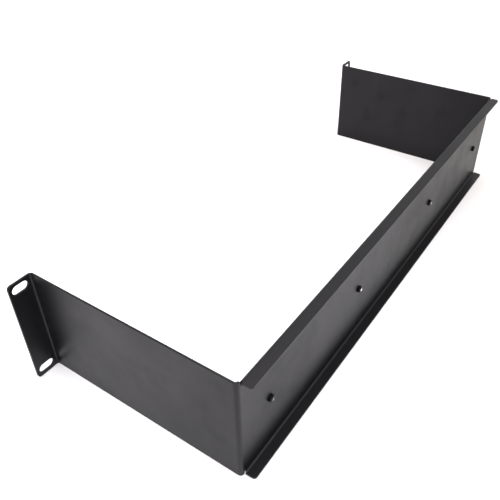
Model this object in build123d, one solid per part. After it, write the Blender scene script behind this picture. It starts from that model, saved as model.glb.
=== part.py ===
from build123d import *
import os

# A rack bracket that carries a length of top-hat DIN rail behind the front of a 19-inch rack.
# It is folded from one sheet: a web across the back, a flange along the web's top and bottom
# edges, an arm forward at each end, and a slotted ear outward at the front of each arm. The rail
# lies on the web's front face and is held by four blind rivets.
#
# Millimetres. X runs across the rack, Y from the ears back to the web, Z up. The origin is the
# centre of the slot pattern, on the rear faces of the ears, where they meet the rack's rails.

# Rack sizes
rack_unit = 44.45
units_high = 2
height_clearance = 0.8
face_width = 482.6
slot_edge_inset = 8.75
slot_unit_inset = 6.35
slot_length = 12.7
slot_width = 7.1

# Folded sheet
sheet = 1.5
inner_bend_radius = 1.5
ear_width = 18.3
depth = 172.0
flange_depth = 9.6
relief_width = 1.5
relief_overcut = 0.5
ear_corner_radius = 3.0
flange_corner_radius = 2.5

# Top-hat rail
rail_height = 35.0
rail_channel_height = 25.0
rail_depth = 7.5
rail_gauge = 1.0
rail_inner_radius = 0.8
rail_end_clearance = 2.5

# Blind rivets, as set
rivet_body_diameter = 4.0
rivet_hole_clearance = 0.1
rivet_head_diameter = 8.0
rivet_head_rim = 0.6
rivet_head_dome = 0.45
rivet_bulb_diameter = 5.4
rivet_bulb_height = 2.1
rivet_bulb_chamfer = 0.6
outer_rivet_end_inset = 28.5
inner_rivet_spacing = 140.0

# What stays of a rivet's mandrel
mandrel_diameter = 2.2
mandrel_head_diameter = 3.2
mandrel_head_seat = 0.8
mandrel_head_dome = 0.55
mandrel_clearance = 0.04
mandrel_break_depth = 0.3

# Worked out from the sizes above
panel_height = units_high * rack_unit - height_clearance
slot_columns = face_width - 2 * slot_edge_inset
slot_rows = units_high * rack_unit - 2 * slot_unit_inset
arm_span = face_width - 2 * ear_width
outer_bend_radius = inner_bend_radius + sheet
middle_bend_radius = inner_bend_radius + sheet / 2
ear_front = -sheet
web_rear = ear_front + depth
web_front = web_rear - sheet
web_middle = web_rear - sheet / 2
flange_rear = web_front + flange_depth
flange_length = arm_span - 2 * outer_bend_radius
flange_root = outer_bend_radius + sheet
rail_length = arm_span - 2 * (sheet + rail_end_clearance)
rail_front = web_front - rail_depth
rail_base_front = web_front - rail_gauge
rivet_hole_radius = (rivet_body_diameter + rivet_hole_clearance) / 2
bulb_end = web_rear + rivet_bulb_height
outer_rivet_spacing = rail_length - 2 * outer_rivet_end_inset
rivet_places = {
    "left_outer": -outer_rivet_spacing / 2,
    "left_inner": -inner_rivet_spacing / 2,
    "right_inner": inner_rivet_spacing / 2,
    "right_outer": outer_rivet_spacing / 2,
}


def bent_strip(points, bend_radius, gauge, plane, length):
    """A strip bent along the centre line through the points, drawn on the plane and as wide as length."""
    with BuildPart() as strip:
        with BuildSketch(plane):
            with BuildLine() as centre_line:
                FilletPolyline(*points, radius=bend_radius)
            trace(centre_line.line, line_width=gauge)
        extrude(amount=length / 2, both=True)
    return strip.part


def ears_arms_and_web():
    """The two ears, the two arms and the web, before their flanges and holes."""
    ear_middle = ear_front + sheet / 2
    arm_middle = (arm_span - sheet) / 2
    corners = [
        (-face_width / 2, ear_middle),
        (-arm_middle, ear_middle),
        (-arm_middle, web_middle),
        (arm_middle, web_middle),
        (arm_middle, ear_middle),
        (face_width / 2, ear_middle),
    ]
    strip = bent_strip(corners, middle_bend_radius, sheet, Plane.XY, panel_height)
    across = strip.edges().filter_by(Axis.Y).group_by(Axis.X)
    return fillet(across[0] + across[-1], radius=ear_corner_radius)


def flange(side):
    """A flange with its bend and the strip of web below it. Side is 1 at the top, -1 at the bottom."""
    flange_middle = side * (panel_height - sheet) / 2
    root = side * (panel_height / 2 - flange_root)
    corners = [(web_middle, root), (web_middle, flange_middle), (flange_rear, flange_middle)]
    strip = bent_strip(corners, middle_bend_radius, sheet, Plane.YZ, flange_length)
    free_corners = strip.edges().filter_by(Axis.Z).group_by(Axis.Y)[-1]
    return fillet(free_corners, radius=flange_corner_radius)


def flange_window(side):
    """The stretch of the web's edge that a flange and its bend take the place of."""
    height = side * (panel_height - flange_root) / 2
    return Pos(0, web_middle, height) * Box(flange_length, 2 * sheet, flange_root)


def bend_relief(end, side):
    """A slot across the end of a flange's bend, beside the bend of an arm, round where it ends in the web."""
    radius = relief_width / 2
    web_reach = outer_bend_radius + relief_overcut - radius
    flange_reach = web_reach - radius
    top = side * panel_height / 2
    corner = Pos(end * (flange_length / 2 - radius), web_front, top)
    down_the_web = Pos(0, sheet / 2, -side * web_reach / 2) * Box(relief_width, 2 * sheet, web_reach)
    web_end = Pos(0, sheet / 2, -side * web_reach) * Rot(X=90) * Cylinder(radius, 2 * sheet)
    along_the_flange = Pos(0, flange_reach / 2, 0) * Box(relief_width, flange_reach, 4 * sheet)
    return corner * (down_the_web + web_end + along_the_flange)


def ear_slot(end, side):
    """A slot through an ear, lying across the rack."""
    centre = Plane.XZ.offset(-ear_front / 2) * Pos(end * slot_columns / 2, side * slot_rows / 2)
    return extrude(centre * SlotOverall(slot_length, slot_width), amount=sheet, both=True)


def rivet_hole(across):
    """A round hole through the web and the rail's base."""
    through = sheet + rail_gauge
    return Pos(across, web_rear - through / 2, 0) * Rot(X=90) * Cylinder(rivet_hole_radius, 2 * through)


def folded_bracket():
    """The whole bracket, folded from one sheet."""
    bracket = ears_arms_and_web()
    for side in (1, -1):
        bracket = bracket - flange_window(side)
        bracket = bracket + flange(side)
        for end in (1, -1):
            bracket = bracket - bend_relief(end, side)
            bracket = bracket - ear_slot(end, side)
    for across in rivet_places.values():
        bracket = bracket - rivet_hole(across)
    return bracket


def din_rail():
    """The top-hat rail, its base flat on the web and its two lips forward."""
    lip_middle = rail_front + rail_gauge / 2
    base_middle = web_front - rail_gauge / 2
    wall_middle = (rail_channel_height + rail_gauge) / 2
    corners = [
        (lip_middle, rail_height / 2),
        (lip_middle, wall_middle),
        (base_middle, wall_middle),
        (base_middle, -wall_middle),
        (lip_middle, -wall_middle),
        (lip_middle, -rail_height / 2),
    ]
    rail = bent_strip(corners, rail_inner_radius + rail_gauge / 2, rail_gauge, Plane.YZ, rail_length)
    for across in rivet_places.values():
        rail = rail - rivet_hole(across)
    return rail


def dome_radius(rim_radius, height):
    """Radius of the sphere that passes through a rim and rises to the height over its centre."""
    return (rim_radius**2 + height**2) / (2 * height)


def turned(outline):
    """A solid turned about the Y axis from a closed outline of radius and depth."""
    return revolve(make_face(outline), axis=Axis.Y)


def rivet_body():
    """A set rivet: domed head on the rail, shank through rail and web, bulb behind the web."""
    head_radius = rivet_head_diameter / 2
    shank_radius = rivet_body_diameter / 2
    bulb_radius = rivet_bulb_diameter / 2
    rim_front = rail_base_front - rivet_head_rim
    dome = dome_radius(head_radius, rivet_head_dome)
    outline = Polyline(
        (0, bulb_end),
        (bulb_radius, bulb_end),
        (bulb_radius, web_rear),
        (shank_radius, web_rear),
        (shank_radius, rail_base_front),
        (head_radius, rail_base_front),
        (head_radius, rim_front),
    )
    outline += RadiusArc((head_radius, rim_front), (0, rim_front - rivet_head_dome), dome)
    outline += Line((0, rim_front - rivet_head_dome), (0, bulb_end))
    body = turned(outline)
    bulb_rim = body.edges().filter_by(GeomType.CIRCLE).group_by(Axis.Y)[-1]
    body = chamfer(bulb_rim, length=rivet_bulb_chamfer)
    return body - mandrel_bore() - mandrel_seat()


def mandrel_bore():
    """The bore that the mandrel's stem fills."""
    reach = bulb_end - rail_base_front
    radius = (mandrel_diameter + mandrel_clearance) / 2
    return Pos(0, bulb_end - reach / 2, 0) * Rot(X=90) * Cylinder(radius, 2 * reach)


def mandrel_seat():
    """The recess in the bulb's end that the mandrel's head has drawn itself into."""
    radius = (mandrel_head_diameter + mandrel_clearance) / 2
    return Pos(0, bulb_end, 0) * Rot(X=90) * Cylinder(radius, 2 * mandrel_head_seat)


def mandrel():
    """The mandrel's stem, broken just inside the rivet's head, and its domed head in the bulb."""
    stem_radius = mandrel_diameter / 2
    head_radius = mandrel_head_diameter / 2
    head_seat = bulb_end - mandrel_head_seat
    break_face = rail_base_front - rivet_head_rim - rivet_head_dome + mandrel_break_depth
    tip = bulb_end + mandrel_head_dome
    outline = Polyline(
        (0, tip),
        (0, break_face),
        (stem_radius, break_face),
        (stem_radius, head_seat),
        (head_radius, head_seat),
        (head_radius, bulb_end),
    )
    outline += RadiusArc((head_radius, bulb_end), (0, tip), -dome_radius(head_radius, mandrel_head_dome))
    return turned(outline)


def build():
    """Every piece by its name."""
    pieces = {"folded_bracket": folded_bracket(), "din_rail": din_rail()}
    body = rivet_body()
    remnant = mandrel()
    for place, across in rivet_places.items():
        pieces[f"rivet_{place}"] = Pos(across, 0, 0) * body
        pieces[f"mandrel_{place}"] = Pos(across, 0, 0) * remnant
    return pieces


os.makedirs("parts", exist_ok=True)
for name, piece in build().items():
    export_step(piece, f"parts/{name}.step")
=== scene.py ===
"""Looks of a two-unit rack bracket that carries a length of top-hat rail behind the rack's front.

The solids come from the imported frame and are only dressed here. Metres throughout, in the frame's
own axes: X across the rack, Y from the ears back to the web, Z up.
"""

from __future__ import annotations

import logging
import math
from dataclasses import dataclass, field
from enum import Enum

import bmesh  # noqa: E402
import bpy  # noqa: E402
from mathutils import Matrix, Vector  # noqa: E402


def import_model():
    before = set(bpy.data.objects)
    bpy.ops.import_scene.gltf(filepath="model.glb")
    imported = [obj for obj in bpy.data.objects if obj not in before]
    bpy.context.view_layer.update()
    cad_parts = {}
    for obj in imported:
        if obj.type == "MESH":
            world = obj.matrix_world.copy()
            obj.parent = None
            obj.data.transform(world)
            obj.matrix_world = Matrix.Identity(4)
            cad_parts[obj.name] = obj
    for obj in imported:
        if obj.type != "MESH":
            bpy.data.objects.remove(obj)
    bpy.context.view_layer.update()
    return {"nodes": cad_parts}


LOG = logging.getLogger("bracket")
MM = 0.001

Colour = tuple[float, float, float]
Place = tuple[float, float, float]
Scale = tuple[float, float, float]
Span = tuple[float, float]
Socket = bpy.types.NodeSocket

NONE_TO_ALL: Span = (0.0, 1.0)
NOISE_BAND: Span = (0.3, 0.7)  # the middle of a noise's range
EDGE_SAMPLES = 4
USUAL_IOR = 1.5
BLACK: Colour = (0.0, 0.0, 0.0)
WHITE: Colour = (1.0, 1.0, 1.0)


class RivetPlace(Enum):
    """Where along the web a rivet sits."""

    LEFT_OUTER = "left_outer"
    LEFT_INNER = "left_inner"
    RIGHT_INNER = "right_inner"
    RIGHT_OUTER = "right_outer"


class Axis(Enum):
    """An axis of the frame, by the name of its coordinate."""

    ACROSS = "X"
    DEPTH = "Y"


@dataclass(frozen=True)
class Grain:
    """Soft noise: the size of its patches, and how many finer layers it has and how strong."""

    size: float
    detail: float = 3.0
    roughness: float = 0.5


@dataclass(frozen=True)
class Relief:
    """A fine bump, and the radius that sharp edges look rounded by."""

    depth: float
    strength: float
    edge_radius: float


class NodeBench:
    """Lays out the nodes of one material."""

    def __init__(self, name: str) -> None:
        """Start an empty material.

        Args:
            name: The material's name.
        """
        self.material = bpy.data.materials.new(name)
        self.material.use_nodes = True
        self.tree = self.material.node_tree
        self.tree.nodes.clear()
        self.output = self.tree.nodes.new("ShaderNodeOutputMaterial")
        self.place = self.tree.nodes.new("ShaderNodeTexCoord").outputs["Object"]

    def link(self, source: Socket, target: Socket) -> None:
        """Join an output to an input."""
        self.tree.links.new(source, target)

    def stretch(self, scale: Scale) -> Socket:
        """Object coordinates multiplied along each axis.

        Args:
            scale: The factor along X, Y and Z.

        Returns:
            The stretched coordinates.
        """
        mapping = self.tree.nodes.new("ShaderNodeMapping")
        mapping.inputs["Scale"].default_value = scale
        self.link(self.place, mapping.inputs["Vector"])
        return mapping.outputs["Vector"]

    def along(self, axis: Axis) -> Socket:
        """One object coordinate.

        Args:
            axis: Which one.

        Returns:
            The coordinate, in metres.
        """
        split = self.tree.nodes.new("ShaderNodeSeparateXYZ")
        self.link(self.place, split.inputs["Vector"])
        return split.outputs[axis.value]

    def distance(self, centre: Place) -> Socket:
        """How far a point is from a centre.

        Args:
            centre: The centre.

        Returns:
            The distance, in metres.
        """
        node = self.tree.nodes.new("ShaderNodeVectorMath")
        node.operation = "DISTANCE"
        node.inputs[1].default_value = centre
        self.link(self.place, node.inputs[0])
        return node.outputs["Value"]

    def noise(self, grain: Grain, place: Socket | None = None) -> Socket:
        """Soft noise whose patches are about one size.

        Args:
            grain: The kind of noise.
            place: Coordinates to read, or None for the object's own.

        Returns:
            A value from 0 to 1.
        """
        node = self.tree.nodes.new("ShaderNodeTexNoise")
        node.inputs["Scale"].default_value = 1.0 / grain.size
        node.inputs["Detail"].default_value = grain.detail
        node.inputs["Roughness"].default_value = grain.roughness
        self.link(place or self.place, node.inputs["Vector"])
        return node.outputs["Fac"]

    def close_to(self, value: Socket, centre: float, reach: float) -> Socket:
        """Pick out the values around a centre.

        Args:
            value: The value to compare.
            centre: The value to be close to.
            reach: How far off it may be.

        Returns:
            1 within reach of the centre, 0 elsewhere.
        """
        node = self.tree.nodes.new("ShaderNodeMath")
        node.operation = "COMPARE"
        node.inputs[1].default_value = centre
        node.inputs[2].default_value = reach
        self.link(value, node.inputs[0])
        return node.outputs["Value"]

    def span(self, value: Socket, to: Span = NONE_TO_ALL, over: Span = NOISE_BAND) -> Socket:
        """Spread a value over a new range, and hold it at the range's ends.

        Args:
            value: The value to spread.
            to: What it becomes at the start and at the end.
            over: The values taken as the start and the end.

        Returns:
            The new value.
        """
        node = self.tree.nodes.new("ShaderNodeMapRange")
        node.inputs["From Min"].default_value, node.inputs["From Max"].default_value = over
        node.inputs["To Min"].default_value, node.inputs["To Max"].default_value = to
        self.link(value, node.inputs["Value"])
        return node.outputs["Result"]

    def multiply(self, first: Socket, second: Socket) -> Socket:
        """One value times another.

        Args:
            first: One value.
            second: The other.

        Returns:
            Their product.
        """
        node = self.tree.nodes.new("ShaderNodeMath")
        node.operation = "MULTIPLY"
        self.link(first, node.inputs[0])
        self.link(second, node.inputs[1])
        return node.outputs["Value"]

    def tint(self, factor: Socket, under: Colour | Socket, over: Colour) -> Socket:
        """Lay a colour over another by a factor.

        Args:
            factor: 0 where the colour under it shows, 1 where it covers that.
            under: The colour under it, or the output that gives it.
            over: The colour laid on.

        Returns:
            The mixed colour.
        """
        node = self.tree.nodes.new("ShaderNodeMix")
        node.data_type = "RGBA"
        if isinstance(under, tuple):
            node.inputs["A"].default_value = (*under, 1.0)
        else:
            self.link(under, node.inputs["A"])
        node.inputs["B"].default_value = (*over, 1.0)
        self.link(factor, node.inputs["Factor"])
        return node.outputs["Result"]

    def normal(self, height: Socket, relief: Relief) -> Socket:
        """A surface normal with a fine relief and softly rounded edges.

        Args:
            height: The relief's height, from 0 to 1.
            relief: Its measures.

        Returns:
            The normal.
        """
        edge = self.tree.nodes.new("ShaderNodeBevel")
        edge.samples = EDGE_SAMPLES
        edge.inputs["Radius"].default_value = relief.edge_radius
        bump = self.tree.nodes.new("ShaderNodeBump")
        bump.inputs["Strength"].default_value = relief.strength
        bump.inputs["Distance"].default_value = relief.depth
        self.link(edge.outputs["Normal"], bump.inputs["Normal"])
        self.link(height, bump.inputs["Height"])
        return bump.outputs["Normal"]

    def surface(
        self,
        colour: Socket,
        roughness: Socket,
        normal: Socket,
        metallic: float = 0.0,
        ior: float = USUAL_IOR,
        gloss: Colour = WHITE,
    ) -> None:
        """Finish the material with its shader.

        Args:
            colour: The base colour.
            roughness: The roughness.
            normal: The surface normal.
            metallic: 1 for bare metal, 0 for paint.
            ior: The index of refraction.
            gloss: The tint of its reflections.
        """
        shader = self.tree.nodes.new("ShaderNodeBsdfPrincipled")
        shader.inputs["Metallic"].default_value = metallic
        shader.inputs["IOR"].default_value = ior
        shader.inputs["Specular Tint"].default_value = (*gloss, 1.0)
        self.link(colour, shader.inputs["Base Color"])
        self.link(roughness, shader.inputs["Roughness"])
        self.link(normal, shader.inputs["Normal"])
        self.link(shader.outputs["BSDF"], self.output.inputs["Surface"])


@dataclass(frozen=True)
class PowderCoat:
    """Satin black powder coat: fine orange peel, faint clouds and smudges, rubs inside one arm."""

    name: str = "black_powder_coat"
    dark: Colour = (0.0005, 0.0005, 0.0007)
    pale: Colour = (0.0016, 0.0014, 0.0020)
    roughness: Span = (0.45, 0.38)
    ior: float = 1.35
    gloss: Colour = (0.99, 0.94, 1.0)
    clouds: Grain = Grain(38 * MM, detail=4.0, roughness=0.55)
    smudges: Grain = Grain(26 * MM, roughness=0.6)
    smudge_band: Span = (0.50, 0.72)
    smudge_dulling: float = 1.12
    rubs: Grain = Grain(22 * MM, detail=2.0)
    rub_band: Span = (0.52, 0.74)
    rub_dulling: float = 1.38
    rubbed_face: float = -221.5 * MM
    face_reach: float = 0.5 * MM
    peel: Grain = Grain(0.9 * MM, detail=2.0, roughness=0.45)
    relief: Relief = Relief(depth=0.020 * MM, strength=0.6, edge_radius=0.3 * MM)

    def material(self) -> bpy.types.Material:
        """Make the coat.

        Returns:
            Its material.
        """
        bench = NodeBench(self.name)
        clouds = bench.noise(self.clouds)
        colour = bench.tint(bench.span(clouds), self.dark, self.pale)
        clean = bench.span(clouds, self.roughness)
        smudges = bench.noise(self.smudges)
        smudging = bench.span(smudges, (1.0, self.smudge_dulling), self.smudge_band)
        roughness = bench.multiply(bench.multiply(clean, smudging), self.rubbing(bench))
        normal = bench.normal(bench.noise(self.peel), self.relief)
        bench.surface(colour, roughness, normal, ior=self.ior, gloss=self.gloss)
        return bench.material

    def rubbing(self, bench: NodeBench) -> Socket:
        """How much rougher the coat is where the left arm's inner face is rubbed.

        Args:
            bench: The material's nodes.

        Returns:
            1 where the coat is clean, more in a rub.
        """
        rubs = bench.span(bench.noise(self.rubs), over=self.rub_band)
        face = bench.close_to(bench.along(Axis.ACROSS), self.rubbed_face, self.face_reach)
        return bench.span(bench.multiply(rubs, face), (1.0, self.rub_dulling), NONE_TO_ALL)


@dataclass(frozen=True)
class ZincPlate:
    """Clear passivated zinc on rolled steel: long rolling lines and a faint cool and warm cast."""

    name: str = "zinc_plated_steel"
    cool: Colour = (0.40, 0.42, 0.45)
    warm: Colour = (0.49, 0.48, 0.45)
    roughness: Span = (0.26, 0.42)
    rolling: Scale = (0.012, 1.0, 1.0)
    lines: Grain = Grain(0.5 * MM, roughness=0.6)
    patches: Grain = Grain(30 * MM)
    relief: Relief = Relief(depth=0.004 * MM, strength=0.5, edge_radius=0.15 * MM)

    def material(self) -> bpy.types.Material:
        """Make the plating.

        Returns:
            Its material.
        """
        bench = NodeBench(self.name)
        lines = bench.noise(self.lines, bench.stretch(self.rolling))
        colour = bench.tint(bench.span(bench.noise(self.patches)), self.cool, self.warm)
        roughness = bench.span(lines, self.roughness)
        normal = bench.normal(lines, self.relief)
        bench.surface(colour, roughness, normal, metallic=1.0)
        return bench.material


@dataclass(frozen=True)
class RivetFinish:
    """A dull black rivet body whose domed head, on the rail, is a little paler than its bulb."""

    name: str = "black_rivet"
    dark: Colour = (0.0020, 0.0018, 0.0020)
    pale: Colour = (0.0040, 0.0034, 0.0036)
    head: Colour = (0.040, 0.039, 0.041)
    head_depth: Span = (169.4 * MM, 168.4 * MM)
    roughness: Span = (0.30, 0.42)
    ior: float = 1.22
    patches: Grain = Grain(2.4 * MM, detail=2.0)
    marks: Grain = Grain(0.35 * MM, detail=2.0)
    relief: Relief = Relief(depth=0.006 * MM, strength=0.4, edge_radius=0.12 * MM)

    def material(self) -> bpy.types.Material:
        """Make the finish.

        Returns:
            Its material.
        """
        bench = NodeBench(self.name)
        marks = bench.noise(self.marks)
        bulb = bench.tint(bench.span(bench.noise(self.patches)), self.dark, self.pale)
        in_front = bench.span(bench.along(Axis.DEPTH), over=self.head_depth)
        colour = bench.tint(in_front, bulb, self.head)
        roughness = bench.span(marks, self.roughness)
        normal = bench.normal(marks, self.relief)
        bench.surface(colour, roughness, normal, ior=self.ior)
        return bench.material


@dataclass(frozen=True)
class MandrelFinish:
    """A blackened mandrel: its head's crown is bright steel, scaled per rivet into a painted
    highlight, and its broken stem is bare steel.
    """

    name: str
    shine: float
    black: Colour = (0.012, 0.012, 0.013)
    bright: Colour = (1.0, 0.99, 0.96)
    bare: Colour = (0.42, 0.41, 0.40)
    crown_depth: Span = (172.78 * MM, 172.98 * MM)
    stem_depth: Span = (168.4 * MM, 167.9 * MM)
    roughness: Span = (0.16, 0.26)
    marks: Grain = Grain(0.3 * MM, detail=2.0)
    relief: Relief = Relief(depth=0.006 * MM, strength=0.4, edge_radius=0.12 * MM)

    def material(self) -> bpy.types.Material:
        """Make the finish.

        Returns:
            Its material.
        """
        bench = NodeBench(self.name)
        marks = bench.noise(self.marks)
        depth = bench.along(Axis.DEPTH)
        crown = bench.span(depth, over=self.crown_depth)
        stem = bench.span(depth, over=self.stem_depth)
        # the crown's painted highlight: bright steel scaled to this rivet's highlight
        shining = tuple(self.shine * x for x in self.bright)
        colour = bench.tint(stem, bench.tint(crown, self.black, shining), self.bare)
        roughness = bench.span(marks, self.roughness)
        normal = bench.normal(marks, self.relief)
        bench.surface(colour, roughness, normal, metallic=1.0)
        return bench.material


@dataclass(frozen=True)
class DimPlace:
    """A round patch of painted shade on the floor, less bright at its core and fading out around
    it.
    """

    centre: Place
    core: float
    reach: float
    depth: float = 1.0

    def mask(self, bench: NodeBench) -> Socket:
        """How much painted shade there is: the place's depth at its core, 0 beyond its reach."""
        return bench.span(bench.distance(self.centre), (self.depth, 0.0), (self.core, self.reach))


@dataclass(frozen=True)
class PaleFloor:
    """A matt white studio floor with a faint mottle, with painted shade by the far arm and a
    painted shadow by the near bend.
    """

    name: str = "pale_floor"
    white: Colour = (0.755, 0.740, 0.757)
    # the warm colour of the painted shade by the far arm
    dim: Colour = (0.480, 0.462, 0.440)
    # painted shade: a round darker patch of floor beside the far arm
    by_far_arm: DimPlace = DimPlace((-0.40, 0.25, 0.0), core=0.10, reach=0.42)
    # painted shadow: the floor darker below the camera's side, by the near bend
    by_near_bend: DimPlace = DimPlace((0.29, 0.19, 0.0), core=0.03, reach=0.12, depth=0.28)
    mottle: Grain = Grain(60 * MM)
    mottle_depth: float = 0.06
    roughness: Span = (0.85, 0.95)
    grit: Grain = Grain(2 * MM)
    relief: Relief = Relief(depth=0.02 * MM, strength=0.2, edge_radius=0.5 * MM)

    def material(self) -> bpy.types.Material:
        """Make the floor's surface.

        Returns:
            Its material.
        """
        bench = NodeBench(self.name)
        mottle = bench.noise(self.mottle)
        uneven = bench.span(mottle, (1.0 - self.mottle_depth, 1.0))
        # painted shade by the far arm, made a little uneven by the mottle
        shade = bench.multiply(self.by_far_arm.mask(bench), uneven)
        # painted shadow by the near bend, darkening the white floor towards black
        open_floor = bench.tint(self.by_near_bend.mask(bench), self.white, BLACK)
        colour = bench.tint(shade, open_floor, self.dim)
        roughness = bench.span(mottle, self.roughness)
        normal = bench.normal(bench.noise(self.grit), self.relief)
        bench.surface(colour, roughness, normal)
        return bench.material


def dress(node: bpy.types.Object, material: bpy.types.Material) -> None:
    """Give a node one material over all of it.

    Args:
        node: The node's object.
        material: The finish to put on it.
    """
    node.data.materials.clear()
    node.data.materials.append(material)
    for face in node.data.polygons:
        face.material_index = 0


@dataclass
class Bracket:
    """The folded sheet: web, flanges, arms and ears in one node."""

    node: str = "folded_bracket"
    coat: PowderCoat = field(default_factory=PowderCoat)

    def dress(self, nodes: dict[str, bpy.types.Object]) -> str:
        """Coat the bracket and say so. The nodes are the frame's, by name."""
        dress(nodes[self.node], self.coat.material())
        return f"{self.node} coated"


@dataclass
class Rail:
    """The top-hat rail on the web's front."""

    node: str = "din_rail"
    plate: ZincPlate = field(default_factory=ZincPlate)

    def dress(self, nodes: dict[str, bpy.types.Object]) -> str:
        """Plate the rail and say so. The nodes are the frame's, by name."""
        dress(nodes[self.node], self.plate.material())
        return f"{self.node} plated"


@dataclass
class Rivets:
    """The four blind rivets and what is left of their mandrels."""

    body: RivetFinish = field(default_factory=RivetFinish)
    # per rivet, how bright the painted highlight on its mandrel's crown is
    shine: tuple[tuple[RivetPlace, float], ...] = (
        (RivetPlace.LEFT_OUTER, 0.18),
        (RivetPlace.LEFT_INNER, 0.50),
        (RivetPlace.RIGHT_INNER, 0.90),
        (RivetPlace.RIGHT_OUTER, 0.20),
    )

    def dress(self, nodes: dict[str, bpy.types.Object]) -> str:
        """Finish each rivet's body and mandrel.

        Args:
            nodes: The frame's nodes by name.

        Returns:
            What was done, for the log.
        """
        black = self.body.material()
        for place, shine in self.shine:
            bright = MandrelFinish(f"bright_steel_{place.value}", shine)
            dress(nodes[f"rivet_{place.value}"], black)
            dress(nodes[f"mandrel_{place.value}"], bright.material())
        return f"{len(self.shine)} rivets finished"


@dataclass
class Floor:
    """The studio floor that the bracket stands on."""

    name: str = "studio_floor"
    half_width: float = 3.0
    height: float = -44.05 * MM
    finish: PaleFloor = field(default_factory=PaleFloor)

    def build(self) -> str:
        """Make the floor.

        Returns:
            What was done, for the log.
        """
        sheet = bmesh.new()
        bmesh.ops.create_grid(sheet, x_segments=1, y_segments=1, size=self.half_width)
        bmesh.ops.translate(sheet, verts=sheet.verts, vec=(0.0, 0.0, self.height))
        mesh = bpy.data.meshes.new(self.name)
        sheet.to_mesh(mesh)
        sheet.free()
        floor = bpy.data.objects.new(self.name, mesh)
        bpy.context.scene.collection.objects.link(floor)
        mesh.materials.append(self.finish.material())
        return "floor laid"


@dataclass
class SoftLight:
    """A white surround that falls off towards the horizon, and a wide softbox overhead."""

    sky_strength: float = 1.08
    horizon: float = 0.70
    sky_fall: Span = (0.1, 0.8)
    softbox_power: float = 98.0
    softbox_size: float = 3.0
    softbox_place: Place = (0.3, 0.35, 1.8)
    softbox_aim: Place = (0.0, 0.08, 0.0)

    def build(self) -> str:
        """Light the scene.

        Returns:
            What was done, for the log.
        """
        scene = bpy.context.scene
        scene.view_settings.view_transform = "Standard"
        world = bpy.data.worlds.new("studio")
        scene.world = world
        world.use_nodes = True
        self.shade_sky(world.node_tree)
        lamp = bpy.data.lights.new("softbox", "AREA")
        lamp.energy = self.softbox_power
        lamp.size = self.softbox_size
        softbox = bpy.data.objects.new("softbox", lamp)
        softbox.location = self.softbox_place
        aim = Vector(self.softbox_aim) - softbox.location
        softbox.rotation_euler = aim.to_track_quat("-Z", "Y").to_euler()
        scene.collection.objects.link(softbox)
        return "soft light set"

    def shade_sky(self, tree: bpy.types.NodeTree) -> None:
        """Give the surround its strength and its fall towards the horizon.

        Args:
            tree: The world's nodes.
        """
        sky = tree.nodes["Background"]
        sky.inputs["Strength"].default_value = self.sky_strength
        direction = tree.nodes.new("ShaderNodeTexCoord").outputs["Generated"]
        split = tree.nodes.new("ShaderNodeSeparateXYZ")
        fall = tree.nodes.new("ShaderNodeMapRange")
        fall.inputs["From Min"].default_value, fall.inputs["From Max"].default_value = self.sky_fall
        fall.inputs["To Min"].default_value = self.horizon
        fall.inputs["To Max"].default_value = 1.0
        tree.links.new(direction, split.inputs["Vector"])
        tree.links.new(split.outputs["Z"], fall.inputs["Value"])
        tree.links.new(fall.outputs["Result"], sky.inputs["Color"])


@dataclass
class Camera:
    """A camera close to the photograph's, with less shift, so that the other views fit the frame.

    Angles are in degrees, lens and sensor in millimetres.
    """

    place: Place = (0.385832, 0.299406, 0.297393)
    azimuth: float = 125.094
    elevation: float = 37.278
    roll: float = -1.186
    lens: float = 42.753
    sensor: float = 36.0
    shift: Span = (-0.01205, -0.01248)
    clip: Span = (0.01, 20.0)

    def build(self) -> str:
        """Place the camera.

        Returns:
            What was done, for the log.
        """
        optics = bpy.data.cameras.new("camera")
        optics.lens = self.lens
        optics.sensor_width = self.sensor
        optics.shift_x, optics.shift_y = self.shift
        optics.clip_start, optics.clip_end = self.clip
        camera = bpy.data.objects.new("camera", optics)
        camera.matrix_world = Matrix.Translation(self.place) @ self.turn()
        bpy.context.scene.collection.objects.link(camera)
        bpy.context.scene.camera = camera
        return "camera placed"

    def turn(self) -> Matrix:
        """Turn the camera to its azimuth, elevation and roll.

        Returns:
            The rotation.
        """
        a, e, r = (math.radians(x) for x in (self.azimuth, self.elevation, self.roll))
        back = Vector((math.sin(a) * math.cos(e), -math.cos(a) * math.cos(e), math.sin(e)))
        level = Vector((math.cos(a), math.sin(a), 0.0))
        upright = back.cross(level)
        right = level * math.cos(r) + upright * math.sin(r)
        up = upright * math.cos(r) - level * math.sin(r)
        return Matrix((right, up, back)).transposed().to_4x4()


def main() -> None:
    """Dress the frame piece by piece and set it in the studio."""
    logging.basicConfig(level=logging.INFO, format="%(name)s: %(message)s")
    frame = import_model()
    nodes = frame["nodes"]
    for piece in (Bracket(), Rail(), Rivets()):
        LOG.info(piece.dress(nodes))
    for setting in (Floor(), SoftLight(), Camera()):
        LOG.info(setting.build())


if __name__ == "__main__":
    main()
